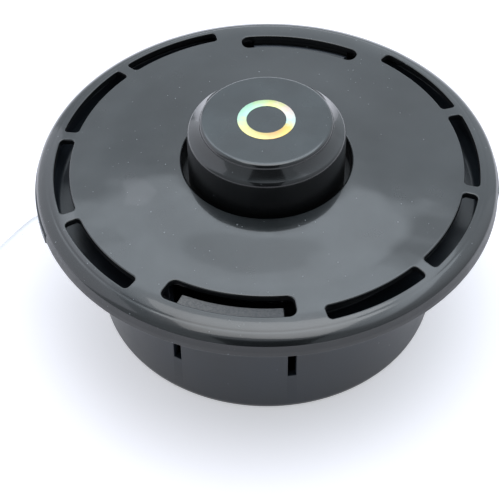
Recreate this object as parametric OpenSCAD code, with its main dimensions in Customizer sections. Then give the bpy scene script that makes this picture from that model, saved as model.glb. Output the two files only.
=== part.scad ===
// Bump-feed head of a line trimmer, lying on its machine side with the bump knob up.
// Origin: centre of the drum's base. +Z runs along the axis to the knob.
// The two latch tongues stand at -Y and +Y, and the line leaves near -X and +X.

/* [Cover] */
// Outer diameter of the cover at the lower edge of its rim
cover_d = 160; // [154:1:195]
// Height of the cover's slotted flat above the base
cover_z = 60.5; // [57:0.5:74]
// Wall thickness of the cover
cover_t = 2.4; // [1.8:0.1:3]
// Depth of the rim that rolls down round the edge
rim_h = 8.1; // [7:0.1:10]
// Rise of the cover from its flat to the centre hole
crown_h = 2.4; // [0.5:0.1:4]
// Distance from the plain slots to the rim's outer edge
slot_edge = 6.7; // [5.5:0.1:9]
// Radial width of the eight plain slots
slot_w = 5.3; // [3:0.1:5.5]
// Angle that each plain slot covers
slot_arc = 29.1; // [24:0.1:29.5]
// Angle of the bars between the plain slots
slot_bar = 3.4; // [3:0.1:4.5]
// Corner radius of all slots
slot_corner = 1.5; // [0.5:0.1:1.5]

/* [Latches] */
// Angle between the two slits that free each latch tongue
latch_arc = 38.4; // [32:0.1:40]
// Radial width of the cover's latch slot at -Y, which a finger reaches into
wide_slot_w = 8.7; // [7:0.1:9.2]
// Radial width of the cover's latch slot at +Y
latch_slot_w = 6.1; // [6:0.1:6.6]
// Width of the slits in the drum wall
slit_w = 2.8; // [1.5:0.1:4]
// Height of the slits' lower ends above the base
slit_z = 16.5; // [10:0.5:25]
// How far the hook reaches over the cover's ledge
hook_grip = 1.7; // [1:0.1:1.8]

/* [Drum] */
// Outer diameter of the drum wall
drum_d = 121; // [100:1:124]
// Wall thickness of the drum and its tray
wall_t = 2.5; // [2:0.1:3]
// Height of the foot ring under the drum's floor
foot_h = 3; // [2:0.1:3.5]
// Thickness of the drum's floor
floor_t = 3; // [2:0.1:4]
// Depth of the tray's floor below the cover's flat
tray_drop = 12.7; // [11:0.1:15]
// Number of ribs on the machine side
rib_count = 8; // [6:1:12]

/* [Line exits] */
// Angle of the line exits from the X axis
exit_turn = 15; // [0:1:20]
// Depth of the line exits below the cover's flat
exit_drop = 20.5; // [20:0.1:23]
// How far the housing's guards stand out through notches in the cover's rim
guard_out = 0.5; // [0.2:0.1:2]
// Angle that each guard covers
guard_arc = 29; // [20:1:32]
// Angle from each line exit to the middle of the guard above it
guard_turn = 3.5; // [-6:0.5:6]
// Diameter of the cutting line
line_d = 2.4; // [2:0.1:2.7]

/* [Knob] */
// Outer diameter of the bump knob's skirt
knob_d = 54; // [44:0.1:64]
// Diameter of the knob's flat top, inside its bevel
knob_top_d = 45.4; // [36:0.1:48]
// Height of the knob's top above the cover's flat
knob_rise = 19.6; // [16:0.1:24]
// Height of the knob's bevel
bevel_h = 6; // [4:0.1:8]
// Gap all round between the knob and the cover's hole
knob_gap = 2.3; // [1.5:0.1:4]
// Outer diameter of the foil ring on the knob
foil_d = 20; // [14:0.5:24]
// Inner diameter of the foil ring
foil_hole_d = 13.6; // [8:0.1:13.8]

/* [Spool and spring] */
// Diameter of the post that the spool slides and turns on
post_d = 18; // [15:0.5:22]
// Travel of the spool when the knob is bumped
travel = 7; // [5:0.5:8.5]
// Thickness of the spool's flanges
flange_t = 1.8; // [1.4:0.1:2.4]
// Gap between the spool's flanges and the drum wall
spool_gap = 4; // [3.5:0.5:6]
// Length of the spring with the head at rest
spring_l = 22.9; // [19:0.1:24]
// Wire diameter of the spring
wire_d = 1.8; // [1.4:0.1:2]
// Number of turns of the spring
spring_turns = 7; // [6:1:8]
// Width across flats of the drive nut
nut_af = 17; // [16:0.5:18]
// Bore of the drive nut, at the crest of its thread
nut_bore_d = 8.7; // [8:0.1:10]
// Length of the drive nut
nut_l = 12; // [8:0.5:14]

/* [Hidden] */
$fn = 96;
eps = 0.01;
run_clear = 0.09;
seat_gap = 0.3;
joint_step = 0.05;
latch_turns = [-90, 90];
exit_turns = [180 + exit_turn, exit_turn];
index_turns = [45, 135, 225, 315];

// Cover
cover_r = cover_d / 2;
cover_under = cover_z - cover_t;
knob_r = knob_d / 2;
hole_r = knob_r + knob_gap;
slot_out_r = cover_r - slot_edge;
slot_in_r = slot_out_r - slot_w;
drum_r = drum_d / 2;
latch_in_r = drum_r + 1.2;
latch_out_rs = [latch_in_r + wide_slot_w, latch_in_r + latch_slot_w];
crown_r = latch_in_r - 2;
roll_r = slot_in_r - 1;
roll_drop = 5.2;
rim_z = cover_z - rim_h;
latch_gap = (180 - latch_arc - 4 * slot_arc - 3 * slot_bar) / 2;
first_slot = latch_arc / 2 + latch_gap + slot_arc / 2;
slot_pitch = slot_arc + slot_bar;

// Latch tongues, from the drum wall to the hook over the cover's ledge
tongue_half = latch_arc / 2 - slit_arc(slit_w) / 2;
window_half = latch_arc / 2 + slit_arc(slit_w) / 2;
hook_half = latch_arc / 2 - 3.9;
ledge_r = latch_out_rs[1] - seat_gap - hook_grip;
riser_out_r = ledge_r - 0.6;
riser_in_r = riser_out_r - 1.6;
hook_top_z = cover_z - 2.6;
hook_under_z = cover_z - 4.4;
ledge_top_z = cover_z - 4.6;
ledge_z = cover_z - 6.6;
shelf_z = cover_z - 12;

// Drum
drum_in_r = drum_r - wall_t;
floor_z = foot_h + floor_t;
tray_z = cover_z - tray_drop;
tray_under = tray_z - wall_t;
lip_out_r = cover_r - 3.3;
lip_in_r = lip_out_r - 1.5;
lip_z = rim_z + 2.6;
exit_z = cover_z - exit_drop;
guard_r = cover_r + guard_out;
block_r = drum_r + 4.5;
block_arc = 16;
eyelet_r = line_d / 2 + 1.6;
eyelet_l = 6;
tunnel_r = line_d / 2 + 0.9;

// Spool, post and spring
post_r = post_d / 2;
boss_r = post_r + 6;
core_in_r = post_r + 12.5;
core_r = core_in_r + wall_t;
spool_r = drum_in_r - spool_gap;
lug_h = 2.5;
lug_arc = 6;
spool_top = cover_z - 6;
spool_z = floor_z + travel + lug_h + 4.5;
mid_z = (spool_z + spool_top - flange_t) / 2;
web_z = spool_top - 7.5;
web_t = 2.5;
washer_t = 1;
spring_top = web_z - 0.1 - washer_t;
spring_z = spring_top - spring_l;
shoulder_z = spring_z - washer_t;
spring_r = post_r + 3.3;
washer_r = post_r + 5.5;
winding_r = spool_r - 8;
leg_in_r = post_r + 8;
leg_out_r = leg_in_r + 2;
upper_stop_r = hole_r + 1.7;
lower_lug_r = core_r + 2;
lug_w = 5;
nut_z = 2;
knob_top = cover_z + knob_rise;
edge_round = 1.5;
shoulder_round = 2.2;
foil_t = 0.12;

// Route of the free line, from inside the left exit to its cut end on the floor
line_route = [[-54.9, -14.7, 40], [-60, -16.1, 40], [-65, -17.4, 40], [-69.5, -18.7, 40],
    [-74, -20.1, 39.7], [-78.3, -21.9, 38.7], [-81.2, -23.4, 36.8], [-84, -25.4, 34.5], [-87.1, -27.3, 31.6],
    [-90.2, -29.3, 28.6], [-93.6, -31.2, 25], [-97.2, -33, 20.6], [-100.8, -34.4, 16],
    [-104.3, -35.3, 11.5], [-107.8, -35.6, 7.4], [-111.4, -35, 4], [-115.2, -33, 2],
    [-119, -29.8, 1.2], [-122, -25, 1.2], [-123.6, -19, 1.2], [-123.4, -12.5, 1.2],
    [-121.4, -6.5, 1.2], [-117.6, -1.4, 1.2]];

function slit_arc(w) = 2 * asin(w / 2 / drum_r);
function arc_points(cx, cz, rx, rz, a0, a1, n) =
    [for (i = [0:n]) let (a = a0 + (a1 - a0) * i / n) [cx + rx * cos(a), cz + rz * sin(a)]];

// Height of the spring's wire after t turns: one closed turn, open turns, one closed turn
function wire_height(t) = t < 1 ? wire_d * t : t > spring_turns - 1
    ? spring_l - wire_d - wire_d * (spring_turns - t)
    : wire_d + (spring_l - 3 * wire_d) / (spring_turns - 2) * (t - 1);

// Part of a ring about Z, centred on the +X axis
module ring_sector(r_in, r_out, z0, h, arc) {
    rotate([0, 0, -arc / 2]) rotate_extrude(angle = arc)
        translate([r_in, z0]) square([r_out - r_in, h]);
}

// A cutter for one curved slot with round corners, centred on the +X axis
module slot_cut(r_in, r_out, arc) {
    in_turn = asin(slot_corner / (r_in + slot_corner));
    out_turn = asin(slot_corner / (r_out - slot_corner));
    mid_r = (r_in + r_out) / 2;
    ring_sector(r_in + slot_corner, r_out - slot_corner, cover_under - 3, 8, arc - 0.04);
    ring_sector(r_in, mid_r, cover_under - 3, 8, arc - 2 * in_turn);
    ring_sector(mid_r - eps, r_out, cover_under - 3, 8, arc - 2 * out_turn);
    for (side = [-1, 1]) {
        rotate([0, 0, side * (arc / 2 - in_turn)])
            translate([r_in + slot_corner, 0, cover_under - 3]) cylinder(r = slot_corner, h = 8, $fn = 24);
        rotate([0, 0, side * (arc / 2 - out_turn)])
            translate([r_out - slot_corner, 0, cover_under - 3]) cylinder(r = slot_corner, h = 8, $fn = 24);
    }
}

// The cover's section: a crown round the hole, a flat, and a rim that rolls down from the slots outwards
module cover_section() {
    crown = [for (i = [0:10]) let (t = i / 10)
        [hole_r + (crown_r - hole_r) * t, cover_z + crown_h * (1 + cos(180 * t)) / 2]];
    roll = arc_points(roll_r, cover_z - roll_drop, cover_r - 0.7 - roll_r, roll_drop, 90, 0, 16);
    bead = [[cover_r - 0.35, cover_z - 6.6], [cover_r, cover_z - 7.1], [cover_r, rim_z]];
    inner = arc_points(roll_r, cover_z - roll_drop, lip_out_r + seat_gap - roll_r, roll_drop - cover_t, 0, 90, 12);
    under = [for (p = [for (i = [10:-1:0]) crown[i]]) [p[0], p[1] - cover_t]];
    polygon(concat(crown, roll, bead, [[lip_out_r + seat_gap, rim_z]], inner, under));
}

module slotted_cover() color([0.13, 0.14, 0.15]) {
    difference() {
        rotate_extrude() cover_section();
        for (side = [0, 1]) rotate([0, 0, latch_turns[side]]) {
            slot_cut(latch_in_r, latch_out_rs[side], latch_arc);
            for (i = [0:3]) rotate([0, 0, first_slot + i * slot_pitch])
                slot_cut(slot_in_r, slot_out_r, slot_arc);
        }
        // notches in the rim for the housing's guards
        for (turn = exit_turns) rotate([0, 0, turn + guard_turn])
            ring_sector(lip_out_r - 1, cover_r + 1, rim_z - 1, lip_z - rim_z + 1.2, guard_arc + 0.5);
    }
    // collar round the hole, which stops the spool's flange
    ring_sector(hole_r, hole_r + 1.5, spool_top + seat_gap, cover_under + crown_h - spool_top, 360);
    // ring that centres the cover in the drum wall
    ring_sector(drum_in_r - 2.4, drum_in_r - 0.6, cover_z - 5, cover_under - cover_z + 5.5, 360);
    // stops that hold the spool's upper lugs
    for (turn = index_turns) rotate([0, 0, turn])
        ring_sector(upper_stop_r, upper_stop_r + lug_w, spool_top + 0.7, cover_under + crown_h - spool_top - 0.5,
            lug_arc);
    // ledges under the outer edge of each latch slot, where the hooks catch
    for (side = [0, 1]) let (out_r = latch_out_rs[side])
        rotate([0, 0, latch_turns[side] - hook_half - 1.5])
            rotate_extrude(angle = 2 * hook_half + 3) polygon([[ledge_r, ledge_z], [out_r + 1.5, ledge_z],
                [out_r + 1.5, cover_under + eps], [out_r + 0.1, cover_under + eps],
                [out_r + 0.1, ledge_top_z], [ledge_r, ledge_top_z]]);
}

// The housing's turned section: foot ring, floor, drum wall, tray, and the lip inside the cover's rim
module housing_section() {
    polygon([[0, foot_h], [drum_in_r - 3, foot_h], [drum_in_r - 1.5, 0], [drum_r - 1.6, 0],
        [drum_r - 0.4, 0.8], [drum_r, 2.3], [drum_r, tray_under - 8],
        [drum_r + 1, tray_under - 4], [drum_r + 4, tray_under], [lip_out_r - 3.2, tray_under],
        [lip_out_r, tray_under + 3.5], [lip_out_r, lip_z], [lip_in_r, lip_z], [lip_in_r - 0.3, tray_z + 3],
        [lip_in_r - 2.5, tray_z],
        [drum_r, tray_z], [drum_r, cover_under - 0.2], [drum_in_r, cover_under - 0.2],
        [drum_in_r, floor_z + 2], [drum_in_r - 2, floor_z], [0, floor_z]]);
}

// One latch tongue: a strip of the drum wall that steps out and ends in a hook, centred on +X
module latch_tongue(hook_tip_r) {
    rotate([0, 0, -tongue_half]) rotate_extrude(angle = 2 * tongue_half)
        polygon([[drum_in_r + seat_gap, slit_z - 1], [drum_r - joint_step, slit_z - 1],
            [drum_r - joint_step, shelf_z - 3.5], [riser_out_r, shelf_z], [riser_out_r, shelf_z + 2],
            [riser_in_r, shelf_z + 2], [riser_in_r, shelf_z + 1], [drum_in_r + seat_gap, shelf_z - 2.5]]);
    rotate([0, 0, -hook_half]) rotate_extrude(angle = 2 * hook_half)
        polygon([[riser_in_r + joint_step, shelf_z + 1], [riser_out_r - joint_step, shelf_z + 1],
            [riser_out_r - joint_step, hook_under_z], [hook_tip_r, hook_under_z],
            [hook_tip_r, hook_under_z + 1.2], [hook_tip_r - 0.8, hook_top_z], [riser_in_r + joint_step, hook_top_z]]);
}

// Thickened part of the drum wall that carries one line exit, with a guard on the lip above it
module exit_block() {
    ring_sector(drum_in_r + 0.5, block_r, exit_z - 5, tray_under + 1 - exit_z + 5, block_arc);
    rotate([0, 0, guard_turn])
        ring_sector(lip_out_r - 0.5, guard_r, rim_z - 1.4, lip_z - rim_z + 1.4, guard_arc);
}

module drum_housing() color([0.11, 0.12, 0.13]) {
    difference() {
        union() {
            rotate_extrude() housing_section();
            for (turn = exit_turns) rotate([0, 0, turn]) exit_block();
            // hub boss with the spring's shoulder, and the post above it
            cylinder(r = boss_r, h = shoulder_z);
            cylinder(r = post_r, h = web_z + web_t + 0.5);
            // ribs between the hub and the foot ring, on the machine side
            for (i = [0:rib_count - 1]) rotate([0, 0, 360 / rib_count * (i + 0.5)])
                translate([boss_r - 1, -1.2, 0.6]) cube([drum_in_r - boss_r - 0.5, 2.4, foot_h]);
            // stops that catch the spool's lower lugs while the knob is down
            for (turn = index_turns) rotate([0, 0, turn + 15])
                ring_sector(lower_lug_r, lower_lug_r + lug_w, floor_z - 1, 7.5, lug_arc);
        }
        for (turn = latch_turns) rotate([0, 0, turn])
            ring_sector(drum_in_r - 0.5, riser_out_r + 1.6, slit_z, cover_z, 2 * window_half);
        // pocket for the drive nut, seat for its washer, and room for the end of the drive bolt
        translate([0, 0, -eps]) cylinder(r = 11.6, h = nut_z + eps);
        rotate([0, 0, 30]) translate([0, 0, nut_z - eps])
            cylinder(r = (nut_af / 2 + 0.05) / cos(30), h = nut_l + 0.2, $fn = 6);
        cylinder(r = nut_bore_d / 2 + 1.2, h = shoulder_z + 10);
        for (turn = exit_turns) rotate([0, 0, turn]) {
            translate([drum_in_r - 1, 0, exit_z]) rotate([0, 90, 0]) cylinder(r = tunnel_r, h = 10);
            translate([block_r - eyelet_l, 0, exit_z]) rotate([0, 90, 0])
                cylinder(r = eyelet_r + 0.05, h = eyelet_l + 1);
        }
    }
    for (side = [0, 1]) rotate([0, 0, latch_turns[side]]) latch_tongue(latch_out_rs[side] - seat_gap);
}

// Hollow knob with a bevelled rim, and four snap legs that hook under the spool's web
module bump_knob() color([0.14, 0.15, 0.16]) {
    top_r = knob_top_d / 2;
    wall = 2.2;
    rotate_extrude() polygon(concat(
        [[0, knob_top], [top_r - edge_round, knob_top]],
        arc_points(top_r - edge_round, knob_top - edge_round, edge_round, edge_round, 75, 0, 5),
        arc_points(knob_r - shoulder_round, knob_top - bevel_h, shoulder_round, shoulder_round, 62, 0, 5),
        [[knob_r, spool_top],
        [knob_r - wall, spool_top], [knob_r - wall, knob_top - bevel_h - 1.5],
        [top_r - 2.4, knob_top - wall], [0, knob_top - wall]]));
    // disc inside the skirt that carries the legs
    ring_sector(leg_in_r - 2, knob_r - wall + eps, spool_top + 1, 2, 360);
    for (turn = [0:90:270]) rotate([0, 0, turn]) {
        ring_sector(leg_in_r, leg_out_r, web_z - 3, spool_top + 1.5 - web_z + 3, 24);
        rotate([0, 0, -12]) rotate_extrude(angle = 24) polygon([[leg_out_r - eps, web_z - seat_gap],
            [leg_out_r + 1.2, web_z - seat_gap], [leg_out_r + 1.2, web_z - 1.2], [leg_out_r - eps, web_z - 3]]);
    }
}

module foil_ring() color([0.85, 0.8, 0.5])
    translate([0, 0, knob_top]) difference() {
        cylinder(r = foil_d / 2, h = foil_t);
        translate([0, 0, -1]) cylinder(r = foil_hole_d / 2, h = 2);
    }

// Spool with two line chambers, a web that runs on the post, and index lugs on both faces
module line_spool() color([0.1, 0.1, 0.1]) {
    difference() {
        union() {
            ring_sector(core_in_r, core_r, spool_z, spool_top - spool_z, 360);
            for (z = [spool_z, mid_z, spool_top - flange_t])
                ring_sector(core_r - 1, spool_r, z, flange_t, 360);
            ring_sector(post_r + run_clear, core_in_r + 1, web_z, web_t, 360);
            ring_sector(post_r + run_clear, post_r + 2.2, web_z, web_t + 1.5, 360);
        }
        // slots in the web for the knob's legs
        for (turn = [0:90:270]) rotate([0, 0, turn])
            ring_sector(leg_in_r - 0.4, leg_out_r + 0.5, web_z - 1, web_t + 3, 28);
        // notches that park the line's ends, and holes in the core that anchor them
        for (turn = [30, 210]) rotate([0, 0, turn]) {
            translate([spool_r - 2, 0, spool_z - 1]) cylinder(r = line_d / 2, h = flange_t + 2, $fn = 24);
            translate([spool_r - 2, -line_d / 4, spool_z - 1]) cube([5, line_d / 2, flange_t + 2]);
            translate([spool_r - 2, 0, spool_top - flange_t - 1]) cylinder(r = line_d / 2, h = flange_t + 2, $fn = 24);
            translate([spool_r - 2, -line_d / 4, spool_top - flange_t - 1]) cube([5, line_d / 2, flange_t + 2]);
        }
    }
    for (turn = index_turns) rotate([0, 0, turn - lug_arc - 0.6]) {
        ring_sector(upper_stop_r, upper_stop_r + lug_w, spool_top - eps, lug_h, lug_arc);
        ring_sector(lower_lug_r, lower_lug_r + lug_w, spool_z - lug_h, lug_h + eps, lug_arc);
    }
}

// Wound line filling one chamber of the spool, with the outermost turns showing as round ridges
module line_winding(z0, z1) {
    turns = floor((z1 - z0 - 0.4) / line_d);
    pitch = (z1 - z0 - 0.4) / turns;
    ridges = [for (i = [0:turns - 1]) for (j = [0:5]) let (a = -75 + 30 * j)
        [winding_r - line_d / 2 + line_d / 2 * cos(a), z0 + 0.2 + pitch * (i + 0.5 + 0.5 * sin(a))]];
    rotate_extrude() polygon(concat([[core_r + 0.05, z0 + 0.2]], ridges, [[core_r + 0.05, z1 - 0.2]]));
}

module line_winding_upper() color([0.86, 0.9, 0.9])
    line_winding(mid_z + flange_t, spool_top - flange_t);

module line_winding_lower() color([0.86, 0.9, 0.9])
    line_winding(spool_z + flange_t, mid_z);

// A round wire or line swept along a list of points, with flat ends
module sweep_tube(path, r, sides) {
    n = len(path);
    function along(i) = let (d = path[min(i + 1, n - 1)] - path[max(i - 1, 0)]) d / norm(d);
    function across(i) = let (c = cross(along(i), [0.13, 0.08, 1])) c / norm(c);
    points = [for (i = [0:n - 1]) for (j = [0:sides - 1])
        let (a = 360 * j / sides, u = across(i), v = cross(along(i), u))
        path[i] + r * (cos(a) * u + sin(a) * v)];
    faces = concat(
        [for (i = [0:n - 2]) for (j = [0:sides - 1]) let (k = (j + 1) % sides)
            [i * sides + j, i * sides + k, (i + 1) * sides + k, (i + 1) * sides + j]],
        [[for (j = [sides - 1:-1:0]) j], [for (j = [0:sides - 1]) (n - 1) * sides + j]]);
    polyhedron(points = points, faces = faces, convexity = 8);
}

// Compression spring: closed turns at both ends, open turns between them
module bump_spring() color([0.6, 0.6, 0.62]) {
    steps = 20;
    sweep_tube([for (i = [0:spring_turns * steps]) let (t = i / steps)
        [spring_r * cos(360 * t), spring_r * sin(360 * t), spring_z + wire_d / 2 + wire_height(t)]],
        wire_d / 2, 8);
}

module spring_washer(z) ring_sector(post_r + run_clear, washer_r, z, washer_t, 360);

module spring_washer_upper() color([0.7, 0.7, 0.72]) spring_washer(spring_top);

module spring_washer_lower() color([0.7, 0.7, 0.72]) spring_washer(shoulder_z);

module drive_nut() color([0.62, 0.62, 0.64])
    difference() {
        translate([0, 0, nut_z]) rotate([0, 0, 30]) intersection() {
            cylinder(r = nut_af / 2 / cos(30), h = nut_l, $fn = 6);
            cylinder(r1 = nut_af / 2 + 0.6, r2 = nut_af / 2 + 0.6 + nut_l, h = nut_l);
        }
        translate([0, 0, -1]) cylinder(r = nut_bore_d / 2, h = nut_z + nut_l + 2);
    }

module nut_washer() color([0.7, 0.7, 0.72])
    ring_sector(nut_bore_d / 2 + 1.2, 11.5, nut_z - 1.5, 1.5, 360);

// Pressed metal eyelet with a rolled flange, in the outer face of an exit block
module line_eyelet() {
    translate([block_r - eyelet_l, 0, exit_z]) rotate([0, 90, 0]) rotate_extrude() polygon(concat(
        [[line_d / 2 + 0.5, 0], [eyelet_r, 0], [eyelet_r, eyelet_l], [eyelet_r + 1.3, eyelet_l]],
        arc_points(eyelet_r + 0.4, eyelet_l, 0.9, 0.9, 0, 90, 4),
        arc_points(line_d / 2 + 1.5, eyelet_l - 0.1, 1, 1, 90, 180, 4)));
}

module line_eyelet_left() color([0.75, 0.75, 0.77]) rotate([0, 0, exit_turns[0]]) line_eyelet();

module line_eyelet_right() color([0.75, 0.75, 0.77]) rotate([0, 0, exit_turns[1]]) line_eyelet();

module line_free_end() color([0.9, 0.93, 0.94]) sweep_tube(line_route, line_d / 2, 8);

// Second end of the line, cut flush in the right eyelet
module line_end_right() color([0.9, 0.93, 0.94]) rotate([0, 0, exit_turns[1]])
    translate([drum_in_r, 0, exit_z]) rotate([0, 90, 0]) cylinder(r = line_d / 2, h = block_r - drum_in_r + 0.9);

drum_housing();
slotted_cover();
bump_knob();
foil_ring();
line_spool();
line_winding_upper();
line_winding_lower();
bump_spring();
spring_washer_upper();
spring_washer_lower();
drive_nut();
nut_washer();
line_eyelet_left();
line_eyelet_right();
line_free_end();
line_end_right();
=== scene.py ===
# Bump-feed trimmer head, lying on its machine side with the knob up, on a white floor.
# Sizes in the dictionaries are in millimetres and degrees; everything goes to metres as it is made.
import math

import bmesh
import bpy
import numpy as np
from mathutils import Matrix, Vector
from mathutils.geometry import delaunay_2d_cdt


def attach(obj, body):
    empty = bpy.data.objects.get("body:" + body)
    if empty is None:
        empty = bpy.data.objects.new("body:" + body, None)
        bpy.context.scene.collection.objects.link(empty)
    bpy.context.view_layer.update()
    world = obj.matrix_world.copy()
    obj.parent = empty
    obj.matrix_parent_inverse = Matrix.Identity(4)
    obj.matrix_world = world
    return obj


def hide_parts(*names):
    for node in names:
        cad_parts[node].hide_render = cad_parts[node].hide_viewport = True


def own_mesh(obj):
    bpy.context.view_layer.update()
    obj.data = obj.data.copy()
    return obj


mm = 0.001

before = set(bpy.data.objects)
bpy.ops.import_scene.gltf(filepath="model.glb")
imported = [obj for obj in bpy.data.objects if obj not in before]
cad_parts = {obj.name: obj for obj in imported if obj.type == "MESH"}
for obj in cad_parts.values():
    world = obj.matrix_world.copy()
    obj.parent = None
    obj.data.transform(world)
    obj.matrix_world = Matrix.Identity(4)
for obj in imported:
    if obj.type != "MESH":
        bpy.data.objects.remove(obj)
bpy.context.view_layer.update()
scene = bpy.context.scene
print("frame loaded:", len(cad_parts), "nodes")



def linearColour(hexText, alpha=1.0):
    # sRGB hex to the linear numbers that a shader takes
    srgb = np.array([int(hexText[i:i + 2], 16) for i in (1, 3, 5)]) / 255
    linear = np.where(srgb <= 0.04045, srgb / 12.92, ((srgb + 0.055) / 1.055) ** 2.4)
    return (*linear.tolist(), alpha)


def addNode(tree, kind, inputs=None, stops=None, **settings):
    # one shader node with its settings; inputs maps a socket to a value or to the output that feeds it
    node = tree.nodes.new("ShaderNode" + kind)
    for name, value in settings.items():
        setattr(node, name, value)
    for socket, value in (inputs or {}).items():
        if isinstance(value, bpy.types.NodeSocket):
            tree.links.new(value, node.inputs[socket])
        else:
            node.inputs[socket].default_value = value
    for i, (place, colour) in enumerate(stops or []):
        stop = node.color_ramp.elements[i] if i < 2 else node.color_ramp.elements.new(place)
        stop.position, stop.color = place, colour
    return node


def newMaterial(name):
    material = bpy.data.materials.new(name)
    material.use_nodes = True
    material.node_tree.nodes.clear()
    return material, material.node_tree


def gridFaces(rows, columns, closed):
    # quads between the points of a grid that is numbered row by row; closed joins its last column to its first
    row, column = np.meshgrid(np.arange(rows - 1), np.arange(columns if closed else columns - 1), indexing="ij")
    here, there = row * columns + column, row * columns + (column + 1) % columns
    return np.stack([here, there, there + columns, here + columns], -1).reshape(-1, 4).tolist()


def revolve(profile, angles, closed=True):
    # each profile point (r, z) carried round Z: x = r cos a, y = r sin a
    profile, turn = np.asarray(profile, float), np.radians(angles)
    r, z = profile[:, :1], profile[:, 1:]
    points = np.stack([r * np.cos(turn), r * np.sin(turn), z + 0 * turn], -1)
    return points.reshape(-1, 3), gridFaces(len(profile), len(turn), closed)


def insetSection(section, depth):
    # each corner of a closed section moved inwards along the mean of its two sides' normals, by depth from both sides
    section = np.asarray(section, float)
    side = np.roll(section, -1, axis=0) - section
    side /= np.linalg.norm(side, axis=1, keepdims=True)
    area = (section[:, 0] * np.roll(section[:, 1], -1) - np.roll(section[:, 0], -1) * section[:, 1]).sum()
    normal = np.stack([-side[:, 1], side[:, 0]], -1) * np.sign(area)
    mean = normal + np.roll(normal, 1, axis=0)
    mean /= np.linalg.norm(mean, axis=1, keepdims=True)
    return section + mean * depth / np.clip((mean * normal).sum(1, keepdims=True), 0.6, 1)


def ringPart(section, middle, arc, steps=24, soft=0.0):
    # a closed section (r, z) carried along an arc about Z; its flat ends have their edges rounded by soft
    # in a rounded end the section shrinks by soft (1 - cos t) while it moves out by soft sin t
    section = np.asarray(section, float)
    if arc >= 360:
        return revolve(np.vstack([section, section[:1]]), middle + np.arange(steps) * 360 / steps, True)
    bend = np.radians([0, 30, 60, 90]) if soft else np.zeros(1)
    shrink = soft * (1 - np.cos(bend))
    back = np.degrees(soft * (1 - np.sin(bend)) / section[:, 0].max())
    limit = arc / 2 - back[0] - (0.1 if soft else 0)
    turns = np.linspace(-limit, limit, steps + 1)
    turns = turns if soft else turns[1:-1]
    angles = middle + np.concatenate([(back - arc / 2)[::-1], turns, arc / 2 - back])
    depths = np.concatenate([shrink[::-1], 0 * turns, shrink])
    loops = np.stack([insetSection(section, depth) if depth else section for depth in depths])
    ray = np.radians(angles)[:, None]
    points = np.stack([loops[..., 0] * np.cos(ray), loops[..., 0] * np.sin(ray), loops[..., 1]], -1)
    last = len(section)
    faces = gridFaces(len(angles), last, True)
    faces += [list(range(last)), [(len(angles) - 1) * last + i for i in range(last)][::-1]]
    return points.reshape(-1, 3), faces


def roundLoop(corners, steps=4):
    # a closed section with every (r, z, radius) corner rounded
    corners = [tuple(corner) for corner in corners]
    return roundCorners(corners[-1:] + corners + corners[:1], steps)[1:-1]


def arcLine(middleR, middleZ, radius, start, end, steps):
    # points on a circle's arc in the section plane: (middleR + radius cos t, middleZ + radius sin t)
    t = np.radians(np.linspace(start, end, steps + 1))
    return np.stack([middleR + radius * np.cos(t), middleZ + radius * np.sin(t)], -1)


def roundCorners(corners, steps=6):
    # a line through (r, z, radius) corners, each corner turned into an arc that touches both its sides
    corners = np.asarray(corners, float)
    places, radii = corners[:, :2], corners[:, 2]
    line = [places[:1]]
    for before, here, after, radius in zip(places[:-2], places[1:-1], places[2:], radii[1:-1]):
        back, ahead = (before - here) / np.linalg.norm(before - here), (after - here) / np.linalg.norm(after - here)
        half = np.arccos(np.clip(back @ ahead, -1, 1)) / 2
        if radius <= 0 or half > 1.55:
            line.append(here[None])
            continue
        middle = here + (back + ahead) / np.linalg.norm(back + ahead) * radius / np.sin(half)
        start, end = here + back * radius / np.tan(half) - middle, here + ahead * radius / np.tan(half) - middle
        share = np.linspace(0, 1, steps + 1)[:, None]
        arc = start * (1 - share) + end * share
        line.append(middle + arc / np.linalg.norm(arc, axis=1, keepdims=True) * radius)
    line.append(places[-1:])
    return np.vstack(line)


def smoothPath(points, spacing):
    # a centripetal-free Catmull-Rom line through the points, cut into even steps of about spacing
    points = np.asarray(points, float)
    ends = np.vstack([2 * points[0] - points[1], points, 2 * points[-1] - points[-2]])
    t = np.linspace(0, 1, 12, endpoint=False)[None, :, None]
    p0, p1, p2, p3 = (ends[i:len(ends) - 3 + i][:, None] for i in range(4))
    curve = 0.5 * (2 * p1 + (p2 - p0) * t + (2 * p0 - 5 * p1 + 4 * p2 - p3) * t ** 2 + (3 * p1 - p0 - 3 * p2 + p3) * t ** 3)
    curve = np.vstack([curve.reshape(-1, 3), points[-1:]])
    run = np.concatenate([[0], np.cumsum(np.linalg.norm(np.diff(curve, axis=0), axis=1))])
    even = np.linspace(0, run[-1], int(round(run[-1] / spacing)) + 1)
    return np.stack([np.interp(even, run, curve[:, i]) for i in range(3)], -1)


def tube(path, radius, sides):
    # a circle carried along the path, with its ends filled: centre + radius (cos b across + sin b up)
    path = np.asarray(path, float)
    along = np.gradient(path, axis=0)
    along /= np.linalg.norm(along, axis=1, keepdims=True)
    across = np.cross(along, [0.13, 0.08, 1.0])
    across /= np.linalg.norm(across, axis=1, keepdims=True)
    up = np.cross(along, across)
    turn = np.linspace(0, 2 * np.pi, sides, endpoint=False)[None, :, None]
    points = path[:, None] + radius * (np.cos(turn) * across[:, None] + np.sin(turn) * up[:, None])
    faces = gridFaces(len(path), sides, True)
    faces += [list(range(sides)), [(len(path) - 1) * sides + i for i in range(sides)][::-1]]
    return points.reshape(-1, 3), faces


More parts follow.
